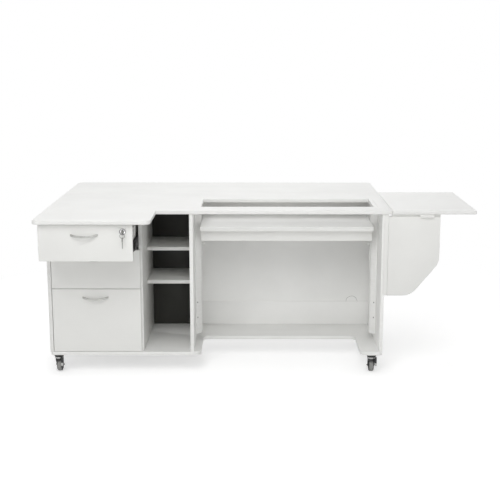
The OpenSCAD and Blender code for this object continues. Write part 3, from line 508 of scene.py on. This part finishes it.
def stay_screws():
    low, high = span("stay_brackets")
    middle = (low.y + high.y) / 2
    across = (low.x + STAY_IN, high.x - STAY_IN)
    under = span("worktop")[0].z - STAY_PLATE_T
    screws("stay_bracket_screws", "rear_leaf", "hinge_steel",
           [(x, middle + s, under) for x in across for s in (-STAY_HOLE_OFF, STAY_HOLE_OFF)],
           UNDER, COUNTERSUNK)
    low, high = span("stay_rails")
    heights = (low.z + STAY_HOLE_OFF, (low.z + high.z) / 2, high.z - STAY_HOLE_OFF)
    screws("stay_rail_screws", "carcass", "zinc_steel",
           [(x, low.y + STAY_RAIL_T, z) for x in across for z in heights], BEHIND, COUNTERSUNK)


# Lift: the screws on the chamfer of each column, and those under the platform's brackets
COLUMN_IN = 9
CHAMFER_IN = 6
COLUMN_HEIGHTS = (224, 296)
BRACKET_IN = 27
BRACKET_T = 2.5
BRACKET_HOLE_OFF = 15


def lift_screws():
    low, high = span("lift_columns")
    for side, x, way in (("left", low.x + COLUMN_IN, 1), ("right", high.x - COLUMN_IN, -1)):
        screws("column_screws_" + side, "carcass", "zinc_steel",
               [(x, low.y + CHAMFER_IN, z) for z in COLUMN_HEIGHTS], (way, -1, 0), PAN_HEAD)
    low, high = span("lift_brackets")
    middle = (low.y + high.y) / 2
    left, right = span("platform")
    places = [(x, middle + s, left.z - BRACKET_T) for x in (left.x + BRACKET_IN, right.x - BRACKET_IN)
              for s in (-BRACKET_HOLE_OFF, BRACKET_HOLE_OFF)]
    screws("bracket_screws", "lift", "white_steel", places, UNDER, PAN_HEAD)


# Drawer runners: screws near both ends and by the middle of each drawer member
RUNNER_END = 28
RUNNER_MIDDLE = 190
RUNNER_T = 6.5


def runner_screws():
    for drawer in DRAWERS:
        low, high = span(drawer + "_box_runners")
        height = (low.z + high.z) / 2
        deep = (low.y + RUNNER_END, low.y + RUNNER_MIDDLE, high.y - RUNNER_END)
        for side, x, way in (("left", low.x + RUNNER_T, -1), ("right", high.x - RUNNER_T, 1)):
            screws(drawer + "_runner_screws_" + side, drawer + "_drawer", "zinc_steel",
                   [(x, y, height) for y in deep], (way, 0, 0), COUNTERSUNK)


# Panel pins: round the rim of each back panel, about one every 96 mm
PIN_IN = 8
PIN_OVER_RAIL = 12
PIN_UNDER_TOP = 10
PIN_PITCH = 96


def panel_pins():
    bay_start, bay_end = span("left_gable")[1].x, span("drawer_gable")[0].x
    cubby, cubby_end = span("cubby_back")
    rail, rail_end = span("back_rail")
    back = span("back_panels")[1].y
    top = span("back_panels")[1].z - PIN_UNDER_TOP
    floor = rail.z + PIN_IN
    places = []
    for start, end, foot in ((bay_start, bay_end, floor), (cubby.x, cubby_end.x, floor),
                             (rail.x, rail_end.x, rail_end.z + PIN_OVER_RAIL)):
        left, right = start + PIN_IN, end - PIN_IN
        across = max(2, round((right - left) / PIN_PITCH))
        places += [(left + i * (right - left) / across, back, z) for i in range(across + 1)
                   for z in (foot, top)]
        up = round((top - foot) / PIN_PITCH)
        places += [(x, back, foot + i * (top - foot) / up) for i in range(1, up) for x in (left, right)]
    screws("panel_pins", "carcass", "back_board", places, BEHIND, PANEL_PIN)


# Shapes turned about an axis or drawn out of a face
ROUND = 64
WHOLE = 2 * math.pi


def turned(shape, profile, middle, axis, steps=ROUND, arc=WHOLE, index=0):
    """Turns a closed profile of (radius, along) points in mm about an axis through the middle.
    Less than a whole turn gets a face at each end."""
    whole = arc == WHOLE
    rings = []
    for step in range(steps if whole else steps + 1):
        c, s = math.cos(arc * step / steps), math.sin(arc * step / steps)
        ring = []
        for radius, along in profile:
            spot = [radius * c, radius * s]
            spot.insert(axis, along)
            ring.append(shape.verts.new([(m + v) * MM for m, v in zip(middle, spot)]))
        rings.append(ring)
    for one, two in zip(rings, rings[1:] + rings[:1] if whole else rings[1:]):
        for i in range(len(profile)):
            j = (i + 1) % len(profile)
            shape.faces.new((one[i], one[j], two[j], two[i])).material_index = index
    if not whole:
        shape.faces.new(rings[0])
        shape.faces.new(rings[-1])


def draw_out(shape, faces, way_mm):
    """Draws faces out along a way, into a plate of one thickness."""
    grown = bmesh.ops.extrude_face_region(shape, geom=faces)
    corners = [v for v in grown["geom"] if isinstance(v, bmesh.types.BMVert)]
    bmesh.ops.translate(shape, vec=[v * MM for v in way_mm], verts=corners)


def plate(outline, way_mm):
    """A plate from an outline of points in mm."""
    shape = bmesh.new()
    corners = [shape.verts.new([v * MM for v in spot]) for spot in outline]
    draw_out(shape, [shape.faces.new(corners)], way_mm)
    return shape


def set_down(name, shape, finishes, body, slot, width_mm, steps=2, nodes=()):
    """Makes a piece of a finished shape, with its faces outwards and its edges rounded."""
    bmesh.ops.recalc_face_normals(shape, faces=shape.faces)
    mesh = bpy.data.meshes.new(name)
    shape.to_mesh(mesh)
    shape.free()
    piece = new_piece(name, mesh, finishes)
    soften(piece, width_mm, steps)
    declare(piece, body, slot, *nodes)


# Casters. Profiles are (radius, along the axis) in mm, upwards from the floor where it is upright
TYRE = [(24, -9.4), (26.6, -9.4), (27.9, -8.8), (28.7, -7.4), (29, -5),
        (29, 5), (28.7, 7.4), (27.9, 8.8), (26.6, 9.4), (24, 9.4)]
HALF_WHEEL = [(25, 9.2), (26.9, 9.2), (26.9, 9.8), (26.2, 10.6), (24.2, 11.6), (21.4, 12), (19, 10.6),
              (17.4, 9.2), (9, 9.2), (7.6, 10), (7, 12), (3.3, 12)]
WHEEL_BODY = [(radius, -along) for radius, along in reversed(HALF_WHEEL)] + HALF_WHEEL
LOWER_RACE = [(14, 67.4), (19.4, 67.4), (19.8, 68.2), (19.8, 72.8), (19.4, 73.6), (14, 73.6)]
UPPER_RACE = [(12, 78.5), (20.6, 78.5), (20.6, 76.2), (21.8, 76.2), (22, 77), (22, 85), (20.8, 87), (12, 87)]
# A fork's kingpin stands CROWN_R behind its front, and its bridge reaches BRIDGE_HALF to each cheek
CROWN_R = 19
BRIDGE_R = 19.4
BRIDGE_HALF = 12.5
BRIDGE_LOW = 58.8
BRIDGE_HIGH = 67.6
BRIDGE_STEPS = 12
# Axle nuts: radius, crown, a small hole that keeps the middle closed, and how they sit on a cheek
NUT_SIDES = 6
NUT_R = 5.2
NUT_CROWN_R = 4.4
NUT_HOLE_R = 0.4
NUT_SUNK = 1.2
NUT_PROUD = 1.4
NUT_STRAIGHT = 0.6
PLATE_HOLE_OFF = 17.5
CASTER_PLATE_T = 2.5


def make_wheels():
    for corner in CORNERS:
        node = "wheel_" + corner
        low, high = span(node)
        middle = (low + high) / 2
        shape = bmesh.new()
        turned(shape, WHEEL_BODY, middle, X)
        turned(shape, TYRE, middle, X, index=1)
        set_down(node + "_tyre", shape, (WHEEL_NYLON, TREAD), node, "tread", width_mm=0.25, nodes=(node,))


def make_bridge(corner, x, y):
    """The pressed bridge of a fork, over the wheel and between the cheeks, round at front and back."""
    outline = []
    for way in (-1, 1):
        for i in range(BRIDGE_STEPS + 1):
            at = BRIDGE_HALF * (2 * i / BRIDGE_STEPS - 1)
            outline.append((x - way * at, y + way * math.sqrt(BRIDGE_R ** 2 - at ** 2), BRIDGE_LOW))
    shape = plate(outline, (0, 0, BRIDGE_HIGH - BRIDGE_LOW))
    set_down("fork_bridge_" + corner, shape, (CASTER_BLACK,), "fork_" + corner, "caster_black",
             width_mm=1.2, steps=3)


def make_races(corner, x, y):
    """The swivel's bright lower race, which turns with the fork, and the black one above it."""
    for level, profile, finish, body, width in (
            ("lower", LOWER_RACE, RACE_STEEL, "fork_" + corner, 0.3),
            ("upper", UPPER_RACE, CASTER_BLACK, "carcass", 0.4)):
        shape = bmesh.new()
        turned(shape, profile, (x, y, 0), Z)
        set_down("race_%s_%s" % (level, corner), shape, (finish,), body, "caster_black", width)


def make_axle_nuts(corner, left, right):
    """The six-sided end of the axle on each cheek."""
    low, high = span("wheel_" + corner)
    middle = (low + high) / 2
    for side, face, way in (("left", left, -1), ("right", right, 1)):
        length = way * (NUT_SUNK + NUT_PROUD)
        profile = [(NUT_HOLE_R, 0), (NUT_R, 0), (NUT_R, length * NUT_STRAIGHT), (NUT_CROWN_R, length),
                   (NUT_HOLE_R, length)]
        shape = bmesh.new()
        turned(shape, profile, (face - way * NUT_SUNK, middle.y, middle.z), X, NUT_SIDES)
        set_down("axle_nut_%s_%s" % (side, corner), shape, (RACE_STEEL,), "fork_" + corner,
                 "caster_black", width_mm=0.25)


def make_casters():
    under = span("caster_plates")[1].z - CASTER_PLATE_T
    holes = [(a, b) for a in (-PLATE_HOLE_OFF, PLATE_HOLE_OFF) for b in (-PLATE_HOLE_OFF, PLATE_HOLE_OFF)]
    for corner in CORNERS:
        low, high = span("fork_" + corner)
        x, y = (low.x + high.x) / 2, low.y + CROWN_R
        make_bridge(corner, x, y)
        make_races(corner, x, y)
        make_axle_nuts(corner, low.x, high.x)
        screws("plate_screws_" + corner, "carcass", "caster_black",
               [(x + a, y + b, under) for a, b in holes], UNDER, PLATE_SCREW)


# A painted shadow: a thin grey arc stands for the shade in the seam round the half-round cover of the cable
# notch
NOTCH_FROM_GABLE = 83
NOTCH_BACK = 3
SEAM_IN_R = 27.0
SEAM_OUT_R = 28.2
SEAM_PROUD = 0.15
SEAM_DEEP = 1.5
SEAM_STEPS = 48


def make_notch_painted_shadow():
    rail, rail_end = span("back_rail")
    middle = (span("right_gable")[0].x - NOTCH_FROM_GABLE, rail.y + NOTCH_BACK, rail_end.z)
    profile = [(SEAM_IN_R, -SEAM_PROUD), (SEAM_OUT_R, -SEAM_PROUD), (SEAM_OUT_R, SEAM_DEEP),
               (SEAM_IN_R, SEAM_DEEP)]
    shape = bmesh.new()
    turned(shape, profile, middle, Y, SEAM_STEPS, arc=math.pi)
    set_down("notch_painted_shadow", shape, (SEAM_PAINTED_SHADOW,), "carcass", "back_board", width_mm=0.05)


# Lock and spare key, in mm. The collar's profile is out from the bezel's rim and back from its face
COLLAR = [(-1.2, -0.5), (0.2, -0.5), (0.9, 0.2), (0.9, 2.0), (-1.2, 2.0)]
# The blade's edge is (off its middle line, up from its tip), and the bow's hole is a share of the bow
BLADE_HALF = 3.5
BLADE_POINT = [(-BLADE_HALF, 3), (-0.9, 0), (1.4, 0)]
BLADE_CUTS = [(1.6, 4.7), (1.6, 6.8), (3.2, 8.4), (3.2, 10.6),
              (1.0, 12.4), (1.0, 14.6), (2.6, 16.4), (2.6, 19.2)]
BLADE_SHOULDER = [(BLADE_HALF, 20)]
BOW_HOLE = 0.68
BOW_STEPS = 40


def make_lock_collar():
    """A ring round the bezel, where the lock stands off the drawer front, darkened as painted shade for the
    dark the bezel's rim mirrors.
    """
    low, high = span("drawer_lock")
    rim = (high.x - low.x) / 2
    shape = bmesh.new()
    turned(shape, [(rim + out, low.y + back) for out, back in COLLAR],
           ((low.x + high.x) / 2, 0, (low.z + high.z) / 2), Y)
    set_down("lock_collar", shape, (COLLAR_PAINTED_DARK,), "top_drawer", "lock_chrome", width_mm=0.15)


def make_spare_key():
    """A stamped key hanging on the ring: a round bow with a hole, and a blade cut up one edge."""
    low, high = span("spare_key")
    bow_r = (high.y - low.y) / 2
    y, z = (low.y + high.y) / 2, high.z - bow_r
    neck = math.asin(BLADE_HALF / bow_r)
    turns = [neck - math.pi / 2 + i * (WHOLE - 2 * neck) / BOW_STEPS for i in range(BOW_STEPS + 1)]
    outline = [(y + bow_r * math.cos(t), z + bow_r * math.sin(t)) for t in turns]
    outline += [(y + off, low.z + up) for off, up in BLADE_POINT + BLADE_CUTS + BLADE_SHOULDER]
    hole_r = bow_r * BOW_HOLE
    turns = [i * WHOLE / BOW_STEPS for i in range(BOW_STEPS)]
    hole = [(y + hole_r * math.cos(t), z + hole_r * math.sin(t)) for t in turns]
    shape = bmesh.new()
    edges = []
    for loop in (outline, hole):
        spots = [shape.verts.new((low.x * MM, py * MM, pz * MM)) for py, pz in loop]
        edges += [shape.edges.new((a, b)) for a, b in zip(spots, spots[1:] + spots[:1])]
    bmesh.ops.triangle_fill(shape, edges=edges, use_beauty=True)
    draw_out(shape, shape.faces[:], (high.x - low.x, 0, 0))
    bmesh.ops.dissolve_limit(shape, angle_limit=FLAT, verts=shape.verts, edges=shape.edges)
    set_down("spare_key_cut", shape, (KEY_NICKEL_PAINTED_DARK,), "spare_key", "lock_chrome", width_mm=0.25,
             nodes=("spare_key",))


# Toe plates. The section is (out, up) from the low front corner of the brake lever's tab, in mm
TOE_TOP = (-1.2, 4.6)
TOE_TIP = (-3.4, -8.5)
TOE_SECTION = [TOE_TOP, TOE_TIP, (-1.6, -9.4), (0.6, -6), (1.4, 4.6)]
TOE_IN = 0.2
TOE_WIDE = 9.2
RIB_SIZES = {"Rib Length": 7.4, "Rib Height": 0.5, "Rib Width": 0.7}
RIB_SIDES = 12
RIB_MIDDLE = 4.5
RIB_PITCH = 2.5
RIBS = 4


def make_toes():
    """The pale toe plate at the end of each brake lever, below its black arm."""
    for side in SIDES:
        low = span("brake_lever_" + side)[0]
        outline = [(low.x + TOE_IN, low.y + out, low.z + up) for out, up in TOE_SECTION]
        shape = plate(outline, (TOE_WIDE, 0, 0))
        set_down("toe_plate_" + side, shape, (BRAKE_PLASTIC,), "brake_" + side, "grey_plastic",
                 width_mm=0.6, steps=3)


def rib_tree():
    """Half-sunk bars across the front of a toe plate, one on every point."""
    tree, given, keys = open_tree("toe_ribs", RIB_SIZES, ("Finish",))
    rib = add(tree, "GeometryNodeMeshCylinder",
              {"Radius": given["Rib Height"], "Depth": given["Rib Length"]}, {"Vertices": RIB_SIDES})
    squash = add(tree, "ShaderNodeMath", {0: given["Rib Width"], 1: given["Rib Height"]}, operation="DIVIDE")
    shape = add(tree, "ShaderNodeCombineXYZ", {"X": squash.outputs["Value"]}, {"Y": 1.0, "Z": 1.0})
    lying = add(tree, "GeometryNodeTransform",
                {"Geometry": rib.outputs["Mesh"], "Scale": shape.outputs["Vector"]},
                {"Rotation": (0, math.pi / 2, 0)})
    placed = add(tree, "GeometryNodeInstanceOnPoints",
                 {"Points": given["Points"], "Instance": lying.outputs["Geometry"]})
    solid = add(tree, "GeometryNodeRealizeInstances", {"Geometry": placed.outputs["Instances"]})
    painted = add(tree, "GeometryNodeSetMaterial",
                  {"Geometry": solid.outputs["Geometry"], "Material": given["Finish"]})
    add(tree, "NodeGroupOutput", {"Mesh": painted.outputs["Geometry"]})
    return tree, keys


def make_toe_ribs():
    tree, keys = rib_tree()
    lean = (TOE_TOP[0] - TOE_TIP[0]) / (TOE_TOP[1] - TOE_TIP[1])
    drops = [RIB_PITCH * (i + 1) for i in range(RIBS)]
    for side in SIDES:
        low = span("brake_lever_" + side)[0]
        places = [(low.x + RIB_MIDDLE, low.y + TOE_TOP[0] - lean * drop, low.z + TOE_TOP[1] - drop)
                  for drop in drops]
        piece = grow("toe_ribs_" + side, places, tree, keys, RIB_SIZES, {"Finish": BRAKE_PLASTIC})
        declare(piece, "brake_" + side, "grey_plastic")


# Stage and light, in metres and watts
WHITE = (1, 1, 1, 1)
FLOOR_GREY = (0.86, 0.86, 0.86, 1)
FLOOR_HALF = 14
# What the camera sees of the floor is lifted to near white, and turns plain white far from the piece
FLOOR_LIFT = 0.44
FADE_FROM = 1.2
FADE_TO = 2.3
SKY_LIGHT = 0.36
# Name, place, what it is aimed at, width, watts, and whether gloss mirrors it
LAMPS = (
    ("front_softbox", (-0.6, -3.7, 3.4), (0, 0, 0.45), 2.8, 78, True),
    ("low_fill_left", (-3.2, -4.2, 0.9), (0, 0, 0.4), 2.4, 20, True),
    ("low_fill_right", (3.2, -4.2, 0.9), (0, 0, 0.4), 2.4, 22, True),
    ("low_fill_middle", (0.35, -4.6, 0.35), (0.35, 0, 0.3), 1.6, 10, True),
    ("top_softbox", (-0.3, 0.5, 3.4), (-0.1, 0.1, 0.76), 3.0, 30, True),
    ("back_softbox", (0.5, 4.5, 2.2), (0, 0, 0.4), 2.6, 38, False),
)


def clear_rays(tree):
    """1 for the rays of camera, gloss and transmission, and 0 for those that carry the light."""
    ray = add(tree, "ShaderNodeLightPath").outputs
    seen = add(tree, "ShaderNodeMath", {0: ray["Is Camera Ray"], 1: ray["Is Glossy Ray"]},
               operation="MAXIMUM")
    clear = add(tree, "ShaderNodeMath", {0: seen.outputs["Value"], 1: ray["Is Transmission Ray"]},
                operation="MAXIMUM")
    return clear.outputs["Value"]


def make_stage():
    """A pale floor that keeps the object's shadow."""
    mesh = bpy.data.meshes.new("floor")
    corners = [(a * FLOOR_HALF, b * FLOOR_HALF, 0) for a, b in ((-1, -1), (1, -1), (1, 1), (-1, 1))]
    mesh.from_pydata(corners, [], [(0, 1, 2, 3)])
    material = bpy.data.materials.new("pale_floor")
    material.use_nodes = True
    tree = material.node_tree
    tree.nodes.clear()
    clear = clear_rays(tree)
    lift = add(tree, "ShaderNodeMath", {0: clear}, {1: FLOOR_LIFT}, operation="MULTIPLY")
    matt = add(tree, "ShaderNodeBsdfDiffuse", None, {"Color": FLOOR_GREY})
    glow = add(tree, "ShaderNodeEmission", {"Strength": lift.outputs["Value"]}, {"Color": WHITE})
    near = add(tree, "ShaderNodeAddShader", {0: matt.outputs["BSDF"], 1: glow.outputs["Emission"]})
    place = add(tree, "ShaderNodeTexCoord").outputs["Object"]
    away = add(tree, "ShaderNodeVectorMath", {0: place}, operation="LENGTH")
    fade = add(tree, "ShaderNodeMapRange", {"Value": away.outputs["Value"]},
               {"From Min": FADE_FROM, "From Max": FADE_TO})
    blank = add(tree, "ShaderNodeMath", {0: fade.outputs["Result"], 1: clear}, operation="MULTIPLY")
    far = add(tree, "ShaderNodeEmission", None, {"Color": WHITE, "Strength": 1.0})
    both = add(tree, "ShaderNodeMixShader",
               {0: blank.outputs["Value"], 1: near.outputs["Shader"], 2: far.outputs["Emission"]})
    add(tree, "ShaderNodeOutputMaterial", {"Surface": both.outputs["Shader"]})
    new_piece("floor", mesh, (material,))


def make_world():
    """A soft even sky for the light, and a plain white one for the eye."""
    world = bpy.data.worlds.new("studio")
    bpy.context.scene.world = world
    world.use_nodes = True
    tree = world.node_tree
    tree.nodes.clear()
    soft = add(tree, "ShaderNodeBackground", None, {"Color": WHITE, "Strength": SKY_LIGHT})
    plain = add(tree, "ShaderNodeBackground", None, {"Color": WHITE, "Strength": 1.0})
    both = add(tree, "ShaderNodeMixShader",
               {0: clear_rays(tree), 1: soft.outputs["Background"], 2: plain.outputs["Background"]})
    add(tree, "ShaderNodeOutputWorld", {"Surface": both.outputs["Shader"]})


def make_lamp(name, place, aim, width, watts, mirrored):
    """A round softbox. One that isn't mirrored leaves no bright patch on the worktop."""
    data = bpy.data.lights.new(name, "AREA")
    data.shape = "DISK"
    data.size = width
    data.energy = watts
    lamp = bpy.data.objects.new(name, data)
    lamp.location = place
    lamp.visible_glossy = mirrored
    lamp.rotation_euler = (Vector(aim) - Vector(place)).to_track_quat("-Z", "Y").to_euler()
    COLLECTION.objects.link(lamp)


make_camera()
make_boards()
make_hardware()
hinge_screws()
stay_screws()
lift_screws()
runner_screws()
panel_pins()
make_wheels()
make_casters()
make_notch_painted_shadow()
make_spare_key()
make_lock_collar()
make_toes()
make_toe_ribs()
make_stage()
make_world()
for lamp in LAMPS:
    make_lamp(*lamp)
bpy.context.scene.view_settings.view_transform = "Standard"

bpy.context.view_layer.update()
